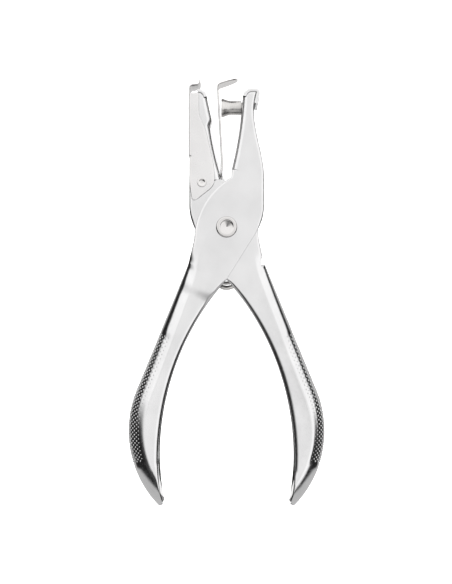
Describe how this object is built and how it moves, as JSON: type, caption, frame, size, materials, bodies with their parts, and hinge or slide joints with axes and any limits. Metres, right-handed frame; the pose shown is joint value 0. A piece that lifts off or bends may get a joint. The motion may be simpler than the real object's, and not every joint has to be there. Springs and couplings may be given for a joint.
{
  "type": "hole punch pliers",
  "caption": "Hand-held pliers punch of folded plated steel: a dished pin meets a die hole, with a stripper leaf, a swinging chip catcher, knurled grips and a return spring.",
  "frame": {"origin": "on the pivot axis, in the plane of the pivot rivet's flat rear head, which the tool lies on", "axes": "+Y from the pivot towards the jaws, +X towards the punch jaw's side, +Z along the pivot, up from the table"},
  "size_m": [0.0644, 0.1398, 0.0142],
  "materials": {
    "plated_sheet": "polished nickel plate",
    "rivet_steel": "polished nickel plate",
    "tool_steel": "turned and hardened",
    "spring_strip": "rolled bright",
    "spring_wire": "drawn bright"
  },
  "bodies": {
    "die_body": {"die_lever": "plated_sheet", "pivot_rivet": "rivet_steel", "stripper_leaf": "spring_strip", "catcher_rivet": "rivet_steel", "return_spring": "spring_wire"},
    "punch_body": {"punch_lever": "plated_sheet", "punch_pin": "tool_steel"},
    "catcher_body": {"chip_catcher": "plated_sheet"}
  },
  "joints": [
    {"name": "squeeze", "type": "hinge", "parent": "die_body", "child": "punch_body", "pos_m": [0, 0, 0.0071], "axis": [0, 0, 1], "range_deg": [0, 7.5], "stiffness_Nm_per_rad": 0.6, "springref_deg": -28.65, "deforming": ["return_spring"]},
    {"name": "catcher_swing", "type": "hinge", "parent": "die_body", "child": "catcher_body", "pos_m": [-0.00796, 0.0144, 0.0071], "axis": [0, 0, 1], "range_deg": [0, 20]}
  ]
}
